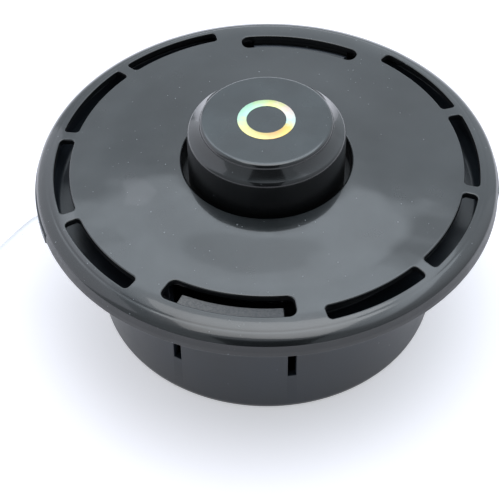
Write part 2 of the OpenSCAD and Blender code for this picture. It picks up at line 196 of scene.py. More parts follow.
def makePiece(name, patches, material, body, smoothAngle=32, replaces=()):
    # joins patches of (points in mm, faces) into one object, welds them and turns their faces outwards
    points, faces, start = [], [], 0
    for patchPoints, patchFaces in patches:
        points.append(patchPoints)
        faces += [[i + start for i in face] for face in patchFaces]
        start += len(patchPoints)
    mesh = bpy.data.meshes.new(name)
    mesh.from_pydata((np.vstack(points) * mm).tolist(), [], faces)
    work = bmesh.new()
    work.from_mesh(mesh)
    bmesh.ops.remove_doubles(work, verts=work.verts, dist=2e-6)
    bmesh.ops.dissolve_degenerate(work, edges=work.edges, dist=1e-7)
    bmesh.ops.recalc_face_normals(work, faces=work.faces)
    work.to_mesh(mesh)
    work.free()
    mesh.shade_smooth()
    mesh.set_sharp_from_angle(angle=math.radians(smoothAngle))
    mesh.materials.append(material)
    piece = bpy.data.objects.new(name, mesh)
    scene.collection.objects.link(piece)
    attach(piece, body)
    if replaces:
        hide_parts(*replaces)
    return piece



view = {
    "place": (75.03, -376.08, 428.94),
    "aim": (-3.28, -14.10, 30.0),
    "rollDegrees": -0.90,
    "lens": 110.88,
}
cameraData = bpy.data.cameras.new("camera")
cameraData.lens, cameraData.sensor_width, cameraData.clip_start = view["lens"], 36.0, 0.01
camera = bpy.data.objects.new("camera", cameraData)
scene.collection.objects.link(camera)
aimTurn = (Vector(view["aim"]) - Vector(view["place"])).to_track_quat("-Z", "Y").to_matrix().to_4x4()
camera.matrix_world = (Matrix.Translation(Vector(view["place"]) * mm) @ aimTurn
                       @ Matrix.Rotation(math.radians(view["rollDegrees"]), 4, "Z"))
scene.camera = camera
scene.view_settings.view_transform = "Standard"



def flecksOfDust(tree, place, share):
    # sparse specks of pale dust, 0.15 to 0.5 mm across: cells of 1.7 mm, of which only a share holds a speck, in drifts
    cells = addNode(tree, "TexVoronoi", {"Vector": place, "Scale": 600.0, "Randomness": 1.0})
    tint = addNode(tree, "SeparateColor", {"Color": cells.outputs["Color"]})
    drift = addNode(tree, "TexNoise", {"Vector": place, "Scale": 26.0, "Detail": 2.0, "Roughness": 0.5})
    limit = addNode(tree, "MapRange", {"Value": drift.outputs["Fac"], "From Min": 0.35, "From Max": 0.68,
                                       "To Min": 0.15 * share, "To Max": 1.9 * share})
    chosen = addNode(tree, "Math", {0: tint.outputs["Red"], 1: limit.outputs["Result"]}, operation="LESS_THAN")
    size = addNode(tree, "MapRange", {"Value": tint.outputs["Green"], "To Min": 0.04, "To Max": 0.15})
    near = addNode(tree, "Math", {0: cells.outputs["Distance"], 1: size.outputs["Result"]}, operation="LESS_THAN")
    pale = addNode(tree, "MapRange", {"Value": tint.outputs["Blue"], "To Min": 0.15, "To Max": 0.8})
    speck = addNode(tree, "Math", {0: chosen.outputs[0], 1: near.outputs[0]}, operation="MULTIPLY")
    return addNode(tree, "Math", {0: speck.outputs[0], 1: pale.outputs["Result"]}, operation="MULTIPLY").outputs[0]


def mouldedNylon(name, colour, roughness, dust, waves):
    # black polyamide from a mould that is polished on top and plain on its sides: dark body, clear skin with shallow
    # waves on what faces up, and a dust film on what faces up; keeping that film off the sides is also painted shade
    # that keeps the sides darker than the tops
    material, tree = newMaterial(name)
    place = addNode(tree, "TexCoord").outputs["Object"]
    facing = addNode(tree, "SeparateXYZ", {"Vector": addNode(tree, "NewGeometry").outputs["Normal"]})
    # painted shade: only faces that point nearly straight up take the lighter film colour, so the sides stay darker
    # than the tops
    level = addNode(tree, "MapRange", {"Value": facing.outputs["Z"], "From Min": 0.78, "From Max": 0.97})
    polish = addNode(tree, "MapRange", {"Value": facing.outputs["Z"], "From Min": 0.15, "From Max": 0.65,
                                        "To Min": 0.0, "To Max": 0.8})
    film = addNode(tree, "TexNoise", {"Vector": place, "Scale": 38.0, "Detail": 4.0, "Roughness": 0.55})
    thick = addNode(tree, "MapRange", {"Value": film.outputs["Fac"], "From Min": 0.32, "From Max": 0.68,
                                       "To Min": 0.35, "To Max": 1.0})
    # dust film in patches on the upward faces, which also works as painted shade by leaving the sides darker
    dusty = addNode(tree, "Math", {0: level.outputs["Result"], 1: thick.outputs["Result"]}, operation="MULTIPLY")
    filmShade = addNode(tree, "MixRGB", {"Fac": dusty.outputs[0], "Color1": linearColour(colour[0]),
                                         "Color2": linearColour(colour[1])})
    specks = flecksOfDust(tree, place, dust)
    shade = addNode(tree, "MixRGB", {"Fac": specks, "Color1": filmShade.outputs["Color"],
                                     "Color2": linearColour("#8f9598")})
    rubs = addNode(tree, "TexNoise", {"Vector": place, "Scale": 95.0, "Detail": 5.0, "Roughness": 0.62})
    skin = addNode(tree, "MapRange", {"Value": rubs.outputs["Fac"], "From Min": 0.3, "From Max": 0.7,
                                      "To Min": roughness[0], "To Max": roughness[1]})
    upright = addNode(tree, "Math", {0: facing.outputs["Z"]}, operation="ABSOLUTE")
    plain = addNode(tree, "MapRange", {"Value": upright.outputs[0], "From Min": 0.1, "From Max": 0.4,
                                       "To Min": 0.2, "To Max": 0.0})
    side = addNode(tree, "Math", {0: skin.outputs["Result"], 1: plain.outputs["Result"]}, operation="ADD")
    dull = addNode(tree, "Math", {0: specks, 1: 0.45, 2: side.outputs[0]}, operation="MULTIPLY_ADD")
    # sink and flow marks a centimetre apart, and the mould's own fine grain of 0.4 mm
    flow = addNode(tree, "TexNoise", {"Vector": place, "Scale": 42.0, "Detail": 1.5, "Roughness": 0.4})
    flowBump = addNode(tree, "Bump", {"Height": flow.outputs["Fac"], "Strength": waves, "Distance": 0.0009})
    grain = addNode(tree, "TexNoise", {"Vector": place, "Scale": 2400.0, "Detail": 2.0, "Roughness": 0.5})
    grainBump = addNode(tree, "Bump", {"Height": grain.outputs["Fac"], "Strength": 0.10, "Distance": 0.00003,
                                       "Normal": flowBump.outputs["Normal"]})
    skinShader = addNode(tree, "BsdfPrincipled", {"Base Color": shade.outputs["Color"], "Roughness": dull.outputs[0],
                                                  "IOR": 1.53, "Normal": grainBump.outputs["Normal"],
                                                  "Coat Weight": polish.outputs["Result"], "Coat Roughness": 0.045,
                                                  "Coat IOR": 1.5,
                                                  "Coat Normal": flowBump.outputs["Normal"]})
    addNode(tree, "OutputMaterial", {"Surface": skinShader.outputs["BSDF"]})
    return material


def housingNylon(name, colour, roughness):
    # the same polyamide from a textured mould; the top of the hook at -Y is scuffed grey where a finger presses it
    material, tree = newMaterial(name)
    place = addNode(tree, "TexCoord").outputs["Object"]
    spread = addNode(tree, "SeparateXYZ", {"Vector": place})
    flat = addNode(tree, "CombineXYZ", {"X": spread.outputs["X"], "Y": spread.outputs["Y"]})
    reach = addNode(tree, "VectorMath", {0: flat.outputs["Vector"]}, operation="LENGTH")
    high = addNode(tree, "Math", {0: spread.outputs["Z"], 1: 0.0568}, operation="GREATER_THAN")
    outer = addNode(tree, "Math", {0: reach.outputs["Value"], 1: 0.0620}, operation="GREATER_THAN")
    pressed = addNode(tree, "Math", {0: spread.outputs["Y"], 1: 0.0}, operation="LESS_THAN")
    top = addNode(tree, "Math", {0: high.outputs[0], 1: outer.outputs[0]}, operation="MULTIPLY")
    hookTop = addNode(tree, "Math", {0: top.outputs[0], 1: pressed.outputs[0]}, operation="MULTIPLY")
    rub = addNode(tree, "TexNoise", {"Vector": place, "Scale": 1300.0, "Detail": 3.0, "Roughness": 0.7})
    rubbed = addNode(tree, "MapRange", {"Value": rub.outputs["Fac"], "From Min": 0.30, "From Max": 0.62, "To Min": 0.35})
    # the scuff is full at the strip's left end and fades to half towards its right end
    fadeTowardsRight = addNode(tree, "MapRange", {"Value": spread.outputs["X"], "From Min": -0.018, "From Max": 0.016,
                                      "To Min": 1.0, "To Max": 0.5})
    fadingHookTop = addNode(tree, "Math", {0: hookTop.outputs[0], 1: fadeTowardsRight.outputs["Result"]}, operation="MULTIPLY")
    scuff = addNode(tree, "Math", {0: fadingHookTop.outputs[0], 1: rubbed.outputs["Result"]}, operation="MULTIPLY")
    film = addNode(tree, "TexNoise", {"Vector": place, "Scale": 45.0, "Detail": 4.0, "Roughness": 0.55})
    filmShade = addNode(tree, "ValToRGB", {"Fac": film.outputs["Fac"]},
                        stops=[(0.36, linearColour(colour[0])), (0.68, linearColour(colour[1]))])
    specks = flecksOfDust(tree, place, 0.05)
    dusty = addNode(tree, "MixRGB", {"Fac": specks, "Color1": filmShade.outputs["Color"],
                                     "Color2": linearColour("#8d9397")})
    shade = addNode(tree, "MixRGB", {"Fac": scuff.outputs[0], "Color1": dusty.outputs["Color"],
                                     "Color2": linearColour("#656463")})
    skin = addNode(tree, "MapRange", {"Value": film.outputs["Fac"], "From Min": 0.3, "From Max": 0.7,
                                      "To Min": roughness[0], "To Max": roughness[1]})
    dull = addNode(tree, "Math", {0: hookTop.outputs[0], 1: 0.2, 2: skin.outputs["Result"]}, operation="MULTIPLY_ADD")
    grain = addNode(tree, "TexNoise", {"Vector": place, "Scale": 1700.0, "Detail": 2.0, "Roughness": 0.5})
    bump = addNode(tree, "Bump", {"Height": grain.outputs["Fac"], "Strength": 0.22, "Distance": 0.00005})
    skinShader = addNode(tree, "BsdfPrincipled", {"Base Color": shade.outputs["Color"], "Roughness": dull.outputs[0],
                                                  "IOR": 1.53, "Normal": bump.outputs["Normal"]})
    addNode(tree, "OutputMaterial", {"Surface": skinShader.outputs["BSDF"]})
    return material


def spoolNylon(name, colour):
    # matte polyamide that the line has polished along its turns
    material, tree = newMaterial(name)
    place = addNode(tree, "TexCoord").outputs["Object"]
    rub = addNode(tree, "TexNoise", {"Vector": place, "Scale": 130.0, "Detail": 4.0, "Roughness": 0.6})
    shade = addNode(tree, "ValToRGB", {"Fac": rub.outputs["Fac"]},
                    stops=[(0.35, linearColour(colour[0])), (0.7, linearColour(colour[1]))])
    skin = addNode(tree, "MapRange", {"Value": rub.outputs["Fac"], "From Min": 0.3, "From Max": 0.7,
                                      "To Min": 0.55, "To Max": 0.38})
    grain = addNode(tree, "TexNoise", {"Vector": place, "Scale": 1500.0, "Detail": 2.0})
    bump = addNode(tree, "Bump", {"Height": grain.outputs["Fac"], "Strength": 0.2, "Distance": 0.00005})
    shader = addNode(tree, "BsdfPrincipled", {"Base Color": shade.outputs["Color"], "Roughness": skin.outputs["Result"],
                                              "IOR": 1.53, "Normal": bump.outputs["Normal"]})
    addNode(tree, "OutputMaterial", {"Surface": shader.outputs["BSDF"]})
    return material


def iridescentFoil(name):
    # hot-stamped diffraction foil: pale bright metal whose tint drifts from green through yellow to orange round the ring
    material, tree = newMaterial(name)
    place = addNode(tree, "TexCoord").outputs["Object"]
    spread = addNode(tree, "SeparateXYZ", {"Vector": place})
    turn = addNode(tree, "Math", {0: spread.outputs["Y"], 1: spread.outputs["X"]}, operation="ARCTAN2")
    drift = addNode(tree, "TexNoise", {"Vector": place, "Scale": 330.0, "Detail": 3.0, "Roughness": 0.6})
    driftTurn = addNode(tree, "Math", {0: drift.outputs["Fac"], 1: 1.5, 2: turn.outputs[0]}, operation="MULTIPLY_ADD")
    part = addNode(tree, "MapRange", {"Value": driftTurn.outputs[0], "From Min": 0.75 - math.pi, "From Max": 0.75 + math.pi})
    shade = addNode(tree, "ValToRGB", {"Fac": part.outputs["Result"]}, stops=[
        (0.0, linearColour("#bfe6cf")), (1.0, linearColour("#bfe6cf")), (0.10, linearColour("#e6e6a8")),
        (0.22, linearColour("#f0dc96")), (0.34, linearColour("#f2c58e")), (0.44, linearColour("#efd27c")),
        (0.52, linearColour("#cdebe2")), (0.62, linearColour("#ecd6cc")), (0.74, linearColour("#dfe39a")),
        (0.88, linearColour("#b6e4c4"))])
    shader = addNode(tree, "BsdfPrincipled", {"Base Color": shade.outputs["Color"], "Metallic": 1.0, "Roughness": 0.34})
    addNode(tree, "OutputMaterial", {"Surface": shader.outputs["BSDF"]})
    return material


def clearNylonLine(name):
    # drawn clear polyamide line: water-clear, with faint draw marks along it that haze the light
    material, tree = newMaterial(name)
    place = addNode(tree, "TexCoord").outputs["Object"]
    haze = addNode(tree, "TexNoise", {"Vector": place, "Scale": 500.0, "Detail": 2.0})
    skin = addNode(tree, "MapRange", {"Value": haze.outputs["Fac"], "To Min": 0.08, "To Max": 0.22})
    shader = addNode(tree, "BsdfPrincipled", {"Base Color": linearColour("#f4f8fa"), "Transmission Weight": 1.0,
                                              "Roughness": skin.outputs["Result"], "IOR": 1.53})
    addNode(tree, "OutputMaterial", {"Surface": shader.outputs["BSDF"]})
    return material


def plainMetal(name, colour, roughness, scale):
    # zinc-plated or drawn steel and pressed aluminium: metal with fine handling marks
    material, tree = newMaterial(name)
    place = addNode(tree, "TexCoord").outputs["Object"]
    marks = addNode(tree, "TexNoise", {"Vector": place, "Scale": scale, "Detail": 4.0, "Roughness": 0.65})
    shade = addNode(tree, "ValToRGB", {"Fac": marks.outputs["Fac"]},
                    stops=[(0.3, linearColour(colour[0])), (0.7, linearColour(colour[1]))])
    skin = addNode(tree, "MapRange", {"Value": marks.outputs["Fac"], "From Min": 0.3, "From Max": 0.7,
                                      "To Min": roughness[0], "To Max": roughness[1]})
    shader = addNode(tree, "BsdfPrincipled", {"Base Color": shade.outputs["Color"], "Metallic": 1.0,
                                              "Roughness": skin.outputs["Result"]})
    addNode(tree, "OutputMaterial", {"Surface": shader.outputs["BSDF"]})
    return material


# each first colour is the dark body and also the painted shade of the sides; each second is the dust film on the tops
coverNylon = mouldedNylon("polishedBlackNylon", ("#131516", "#2a2e30"), (0.16, 0.28), 0.22, 0.42)
knobNylon = mouldedNylon("polishedKnobNylon", ("#0f1011", "#394144"), (0.12, 0.22), 0.12, 0.12)
drumNylon = housingNylon("satinBlackNylon", ("#20252b", "#282e35"), (0.28, 0.40))
spoolBlack = spoolNylon("matteBlackNylon", ("#1c1d1f", "#26282a"))
foil = iridescentFoil("iridescentFoil")
nylonLine = clearNylonLine("clearNylonLine")
zincSteel = plainMetal("zincPlatedSteel", ("#9a9ca0", "#b9bbbe"), (0.24, 0.40), 300.0)
springSteel = plainMetal("drawnSpringSteel", ("#6d6f73", "#8b8d91"), (0.30, 0.42), 500.0)
eyeletMetal = plainMetal("pressedAluminium", ("#b9bbbd", "#d2d4d5"), (0.18, 0.30), 400.0)
print("materials made")



freeLine = {
    "diameter": 2.4,
    # the route's points as in the part, from inside the left exit to the cut end on the floor
    "route": [(-54.9, -14.7, 40), (-60, -16.1, 40), (-65, -17.4, 40), (-69.5, -18.7, 40), (-74, -20.1, 39.7),
              (-78.3, -21.9, 38.7), (-81.2, -23.4, 36.8), (-84, -25.4, 34.5), (-87.1, -27.3, 31.6),
              (-90.2, -29.3, 28.6), (-93.6, -31.2, 25), (-97.2, -33, 20.6), (-100.8, -34.4, 16),
              (-104.3, -35.3, 11.5), (-107.8, -35.6, 7.4), (-111.4, -35, 4), (-115.2, -33, 2),
              (-119, -29.8, 1.2), (-122, -25, 1.2), (-123.4, -19, 1.2), (-123.2, -12.5, 1.2),
              (-121.4, -6.5, 1.2), (-117.6, -1.4, 1.2)],
    "exitPoint": (-62.8, -16.9, 40),
}
linePath = smoothPath(freeLine["route"], 0.8)
linePath[:, 2] = np.maximum(linePath[:, 2], freeLine["diameter"] / 2)
lineEnd = makePiece("line_end", [tube(linePath, freeLine["diameter"] / 2, 20)], nylonLine, "housing",
                    replaces=["line_free_end"])



cover = {
    "radius": 80.0, "flatZ": 60.5, "wall": 2.4, "rimZ": 52.4, "crownRise": 2.4, "holeRadius": 29.3, "crownRadius": 59.7,
    # the rim's roll starts at rollRadius: top and underside are quarter ellipses with these half widths and drops
    "rollRadius": 67.0, "topRoll": (12.6, 4.3), "underRoll": (10.0, 2.8), "plateRadius": 74.8, "rimInnerRadius": 77.0,
    "slotInner": 68.0, "slotOuter": 73.3, "slotArc": 29.1, "slotPitch": 32.5, "firstSlot": 41.25, "slotCorner": 1.5,
    "latchInner": 61.7, "latchCorner": 2.6, "latches": ((-90, -89.6, 70.0, 37.5), (90, 90, 67.8, 38.4)),
    # under the latch slots: each ledge's middle, outer radius and arc
    "ledges": ((-88.9, 70.0, 29.4), (90, 67.8, 30.4)), "edgeRound": 0.5,
    # a fine groove round the top of the roll: radius, half width, depth
    "groove": (75.5, 0.35, 0.07),
    "notchTurns": (198.5, 18.5), "notchArc": 29.5, "notchTop": 55.2, "supportWidth": 0.15, "columns": 360,
}


def slotOutline(inner, outer, arc, middle, corner):
    # a curved slot's outline with round corners: points and their outward normals, the four sides joined by corner arcs
    half = arc / 2
    inTurn, outTurn = (math.degrees(math.asin(corner / r)) for r in (inner + corner, outer - corner))
    sweep = [(0, 0, outer, -(half - outTurn), half - outTurn, 36),
             (outer - corner, half - outTurn, corner, half - outTurn, half + 90, 7),
             (inner + corner, half - inTurn, corner, half + 90, half - inTurn + 180, 7),
             (0, 0, -inner, half - inTurn, -(half - inTurn), 34),
             (inner + corner, -(half - inTurn), corner, 180 - (half - inTurn), 270 - half, 7),
             (outer - corner, -(half - outTurn), corner, 270 - half, 360 - (half - outTurn), 7)]
    points, normals = [], []
    for centreRadius, centreTurn, radius, start, end, count in sweep:
        turn = np.radians(np.linspace(start, end, count + 1) + middle)
        ray = np.stack([np.cos(turn), np.sin(turn)], -1)
        centre = centreRadius * np.array([math.cos(math.radians(centreTurn + middle)),
                                          math.sin(math.radians(centreTurn + middle))])
        points.append(centre + abs(radius) * ray)
        normals.append(ray * (1 if radius > 0 else -1))
    points, normals = np.vstack(points), np.vstack(normals)
    fresh = np.linalg.norm(points - np.roll(points, 1, axis=0), axis=1) > 1e-4
    return points[fresh], normals[fresh]


def insideLoop(points, loop):
    # a point lies inside where a ray from it along x crosses the loop's sides an odd number of times
    x, y = points[:, :1], points[:, 1:2]
    (x0, y0), (x1, y1) = loop.T, np.roll(loop, -1, axis=0).T
    rise = np.where(y1 == y0, 1, y1 - y0)
    crossed = ((y0 > y) != (y1 > y)) & (x < (x1 - x0) * (y - y0) / rise + x0)
    return crossed.sum(1) % 2 == 1


def plateWithHoles(z, inner, outer, loops, inside):
    # a flat ring at height z, filled with triangles between its two edges and the slots' outlines, through more points
    away = np.linalg.norm(inside[:, None] - np.vstack(loops)[None], axis=2).min(1) > 0.6
    for loop in loops:
        away &= ~insideLoop(inside, loop)
    rings = [outer, inner] + list(loops)
    starts = np.cumsum([0] + [len(ring) for ring in rings])
    edges = [(int(a + i), int(a + (i + 1) % (b - a))) for a, b in zip(starts, starts[1:]) for i in range(b - a)]
    points = np.vstack(rings + [inside[away]])
    filled = delaunay_2d_cdt([Vector(point) for point in points.tolist()], edges, [], 0, 1e-7)
    flat, faces = np.array([tuple(point) for point in filled[0]]), np.array([tuple(face) for face in filled[2]])
    middles = flat[faces].mean(1)
    kept = insideLoop(middles, rings[0])
    for ring in rings[1:]:
        kept &= ~insideLoop(middles, ring)
    return np.column_stack([flat, np.full(len(flat), z)]), faces[kept].tolist()


def rollDrop(r, size, side):
    # how far the roll has fallen at radius r: drop (1 - sqrt(1 - ((r - start) / reach)^2))
    reach, drop = size[side]
    share = np.clip((r - size["rollRadius"]) / reach, 0, 1)
    return drop * (1 - np.sqrt(1 - share ** 2))


def bentToRoll(points, size):
    # points of a flat plate let down with the roll: those at its top by the top's fall, at its underside by that one's
    r = np.hypot(points[:, 0], points[:, 1])
    share = np.clip((points[:, 2] - size["flatZ"] + size["wall"]) / size["wall"], 0, 1)
    fall = rollDrop(r, size, "topRoll") * share + rollDrop(r, size, "underRoll") * (1 - share)
    return points - np.column_stack([0 * fall, 0 * fall, fall])


def onCircle(radius, angles):
    ray = np.radians(angles)
    return radius * np.stack([np.cos(ray), np.sin(ray)], -1)


def coverPatches(size):
    flatZ, under = size["flatZ"], size["flatZ"] - size["wall"]
    around = np.arange(size["columns"]) * 360 / size["columns"]
    notches = np.array(size["notchTurns"])
    ends = np.concatenate([notches - size["notchArc"] / 2, notches + size["notchArc"] / 2]) % 360
    slots = []
    for turn, middle, outer, arc in size["latches"]:
        slots.append((size["latchInner"], outer, arc, middle, size["latchCorner"]))
        slots += [(size["slotInner"], size["slotOuter"], size["slotArc"], turn + size["firstSlot"] + i * size["slotPitch"],
                   size["slotCorner"]) for i in range(4)]
    outlines = [slotOutline(*slot) for slot in slots]
    # slot walls: rounded over at the top, straight down, and a small round at the underside
    bend = np.radians(np.linspace(0, 90, 7))
    edge, low, band = size["edgeRound"], 0.3, size["supportWidth"]
    wallSteps = [(edge + band, flatZ)] + [(edge * (1 - math.sin(t)), flatZ - edge * (1 - math.cos(t))) for t in bend]
    wallSteps += [(low * (1 - math.cos(t)), under + low * (1 - math.sin(t))) for t in bend[::2]] + [(low + band, under)]
    patches = []
    for points, normals in outlines:
        rows = [np.column_stack([points + offset * normals, np.full(len(points), z)]) for offset, z in wallSteps]
        patches.append((bentToRoll(np.vstack(rows), size), gridFaces(len(rows), len(points), True)))
    # the plate between crown and rim, with more points where it curves
    circles = (onCircle(size["crownRadius"] + band, around), onCircle(size["plateRadius"], np.unique(np.append(around, ends))))
    inside = np.vstack([onCircle(r, around) for r in np.linspace(size["rollRadius"] + 0.6, size["plateRadius"] - 0.8, 7)])
    for z, offset in ((flatZ, edge + band), (under, low + band)):
        plate, faces = plateWithHoles(z, *circles, [points + offset * normals for points, normals in outlines], inside)
        patches.append((bentToRoll(plate, size), faces))
    # crown and hole: a cosine rise to the hole, a rounded edge, the collar's wall, and back underneath
    r = np.linspace(size["holeRadius"] + 0.8, size["crownRadius"], 40)
    rise = size["crownRise"] * (1 + np.cos(np.pi * (r - size["holeRadius"]) / (size["crownRadius"] - size["holeRadius"]))) / 2
    top = np.column_stack([r, flatZ + rise])[::-1]
    holeZ = flatZ + size["crownRise"]
    hole = roundCorners([(r[0], top[-1][1], 0), (size["holeRadius"], holeZ, 0.75), (size["holeRadius"], 54.8, 0.3),
                         (size["holeRadius"] + 1.5, 54.8, 0.3), (size["holeRadius"] + 1.5, holeZ - size["wall"], 0)])
    below = np.column_stack([r[2:], flatZ + rise[2:] - size["wall"]])
    join = [(size["crownRadius"] + band, flatZ)], [(size["crownRadius"] + band, under)]
    patches.append(revolve(np.vstack([join[0], top[:-1], hole, below, join[1]]), around))
    # rim: the rest of the roll, the outer wall with a little draft, and the inner wall; notches let the guards out
    halves = []
    for side, z in (("topRoll", flatZ), ("underRoll", under)):
        reach, drop = size[side]
        turn = np.linspace(math.acos((size["plateRadius"] - size["rollRadius"]) / reach), 0, 33)
        halves.append(np.column_stack([size["rollRadius"] + reach * np.cos(turn), z - drop + drop * np.sin(turn)]))
    roll, inner = halves[0], halves[1][::-2]
    grooveRadius, grooveHalf, grooveDepth = size["groove"]
    roll[1:, 1] -= grooveDepth * np.exp(-((roll[1:, 0] - grooveRadius) / grooveHalf) ** 2)
    foot = roundCorners([(*roll[-1], 0), (size["radius"] - 0.1, 54.4, 2.0), (size["radius"], size["rimZ"], 0.35),
                         (size["rimInnerRadius"], size["rimZ"], 0.3), (*inner[0], 0)])
    section = np.vstack([roll, foot[1:-1], inner])
    clamped = section.copy()
    lowPart = clamped[:, 1] < size["notchTop"]
    clamped[lowPart, 1] = size["notchTop"]
    clamped[lowPart, 0] = np.clip(clamped[lowPart, 0], size["rimInnerRadius"], roll[-1][0])
    angles = np.sort(np.concatenate([around, ends, ends]))
    offset = np.abs((angles[:, None] - notches + 180) % 360 - 180).min(1)
    notched = offset < size["notchArc"] / 2 - 1e-6
    for end in ends:
        pair = np.where(np.abs(angles - end) < 1e-9)[0]
        inward = np.abs((end + 0.01 - notches + 180) % 360 - 180).min() < size["notchArc"] / 2
        notched[pair] = [False, True] if inward else [True, False]
    grid = np.where(notched[None, :, None], clamped[:, None], section[:, None])
    ray = np.radians(angles)
    points = np.stack([grid[..., 0] * np.cos(ray), grid[..., 0] * np.sin(ray), grid[..., 1]], -1)
    patches.append((points.reshape(-1, 3), gridFaces(len(section), len(angles), True)))
    return patches


def coverUnderParts(size):
    # what stands under the plate: the centring ring, the lug stops and the ledges that the hooks catch
    under = size["flatZ"] - size["wall"]
    parts = [ringPart([(55.6, 55.5), (57.4, 55.5), (57.4, under + 0.5), (55.6, under + 0.5)], 0, 360, 144)]
    parts += [ringPart([(31, 55.2), (36, 55.2), (36, 60.4), (31, 60.4)], turn, 6, 6, 0.3) for turn in (45, 135, 225, 315)]
    for middle, outer, arc in size["ledges"]:
        ledge = roundLoop([(65.8, 53.9, 0.3), (outer + 1.5, 53.9, 0.3), (outer + 1.5, under + 0.01, 0),
                           (outer + 0.1, under + 0.01, 0), (outer + 0.1, 55.9, 0.3), (65.8, 55.9, 0.3)])
        parts.append(ringPart(ledge, middle, arc, 32, 0.3))
    return parts


slottedCover = makePiece("cover", coverPatches(cover) + coverUnderParts(cover), coverNylon, "housing",
                         replaces=["slotted_cover"])
print("cover made:", len(slottedCover.data.polygons), "faces")


knob = {
    "radius": 27.0, "topRadius": 22.7, "topZ": 80.1, "edgeRound": 1.5, "bevelZ": 74.1, "shoulderRound": 2.2,
    "footZ": 54.5, "wall": 2.2, "legInner": 17.0, "legOuter": 19.0, "webZ": 47.0, "columns": 192,
    "foilOuter": 9.8, "foilInner": 6.7, "foilThick": 0.12,
}


def knobPatches(size):
    r, wall, around = size["radius"], size["wall"], np.arange(size["columns"]) * 360 / size["columns"]
    edge, shoulder = size["edgeRound"], size["shoulderRound"]
    section = np.vstack([
        [(0, size["topZ"]), (12, size["topZ"]), (20.6, size["topZ"])],
        arcLine(size["topRadius"] - edge, size["topZ"] - edge, edge, 90, 18, 9),
        roundCorners([(size["topRadius"], size["topZ"] - edge + 0.1, 0), (size["topRadius"], size["topZ"] - edge, 0.5),
                      *[(*point, 0) for point in arcLine(r - shoulder, size["bevelZ"], shoulder, 62, 0, 10)]], 3)[1:],
        roundCorners([(r, size["bevelZ"] - 0.3, 0), (r, size["footZ"], 0.4), (r - wall, size["footZ"], 0.4),
                      (r - wall, size["bevelZ"] - 1.5, 1.0), (size["topRadius"] - 2.4, size["topZ"] - wall, 1.0),
                      (0, size["topZ"] - wall, 0)], 6)])
    patches = [revolve(section, around)]
    legs, web = (size["legInner"], size["legOuter"]), size["webZ"]
    patches.append(ringPart([(legs[0] - 2, 55.5), (r - wall + 0.01, 55.5), (r - wall + 0.01, 57.5), (legs[0] - 2, 57.5)],
                            0, 360, 96))
    patches += [ringPart([(legs[0], web - 3), (legs[1], web - 3), (legs[1] + 1.2, web - 1.2), (legs[1] + 1.2, web - 0.3),
                          (legs[1], web - 0.3), (legs[1], 56), (legs[0], 56)], turn, 24, 12, 0.25)
                for turn in (0, 90, 180, 270)]
    return patches


bumpKnob = makePiece("knob", knobPatches(knob), knobNylon, "spool", replaces=["bump_knob"])
foilSection = roundCorners([
    (knob["foilInner"], knob["topZ"] - 0.02, 0), (knob["foilInner"], knob["topZ"] + knob["foilThick"], 0.05),
    (knob["foilOuter"], knob["topZ"] + knob["foilThick"], 0.05), (knob["foilOuter"], knob["topZ"] - 0.02, 0)], 4)
foilRing = makePiece("foil", [revolve(np.vstack([foilSection, foilSection[:1]]), np.arange(128) * 360 / 128)], foil,
                     "spool", replaces=["foil_ring"])
print("knob and foil made")



drum = {
    "radius": 60.5, "innerRadius": 58.0, "slitZ": 17.8, "slitTurn": 19.2, "slitArc": 2.652,
    "latches": ((-90, -88.9, 69.7, 29.6, 0.6), (90, 90, 67.5, 30.6, 1.3)), "hookInner": 64.3, "exitTurns": (195, 15), "exitZ": 40.0, "blockRadius": 65.0, "blockArc": 16.0,
    "guardShift": 3.5, "guardArc": 29.0, "guardRadius": 80.2, "hubRadius": 15.0, "postRadius": 9.0, "ribs": 8,
    "overlap": 0.6, "edge": 0.35,
}
# the wall from the floor's underside round the foot ring: (radius, height, corner radius)
footCorners = [(13, 3, 0), (55, 3, 0.8), (56.5, 0, 0.5), (58.9, 0, 0.5), (60.1, 0.8, 1.0), (60.5, 2.3, 1.5)]
floorCorners = [(58, 8, 1.5), (56, 6, 1.5), (13, 6, 0)]
lipCorners = [(73.5, 45.3, 2.5), (76.7, 48.8, 2.5), (76.7, 55, 0.4), (75.2, 55, 0.4), (74.9, 50.8, 2.5), (72.7, 47.8, 2.0)]


def hubPatch(size):
    # the hub and its post: rows of rings whose radius is a circle's, or a hexagon's: apothem / cos(turn past a side's middle)
    angles = np.arange(0, 360, 5)
    flatTurn = (angles + 30) % 60 - 30
    hexagon = 8.55 / np.cos(np.radians(flatTurn))
    rows = [(0, 32), (5.55, 32), (5.55, 14.2), (hexagon, 14.2), (hexagon, 2), (11.6, 2), (11.6, 0.2), (11.8, 0),
            (size["hubRadius"] - 0.5, 0), (size["hubRadius"], 0.5), (size["hubRadius"], 21.6), (size["hubRadius"] - 0.4, 22),
            (size["postRadius"], 22), (size["postRadius"], 49.4), (size["postRadius"] - 0.6, 50), (0, 50)]
    ray = np.radians(angles)
    points = [np.column_stack([r * np.cos(ray), r * np.sin(ray), np.full(len(ray), float(z))]) for r, z in rows]
    return np.vstack(points), gridFaces(len(rows), len(angles), True)


def ribPatch(turn):
    # a bar along a ray on the machine side, its lower edges rounded
    side = roundLoop([(-1.2, 3.6, 0), (-1.2, 0.6, 0.5), (1.2, 0.6, 0.5), (1.2, 3.6, 0)])
    ray = math.radians(turn)
    along, across = np.array([math.cos(ray), math.sin(ray), 0]), np.array([-math.sin(ray), math.cos(ray), 0])
    loops = [r * along + side[:, :1] * across + side[:, 1:] * np.array([0, 0, 1]) for r in (14, 56.5)]
    count = len(side)
    faces = gridFaces(2, count, True) + [list(range(count)), list(range(count, 2 * count))[::-1]]
    return np.vstack(loops), faces


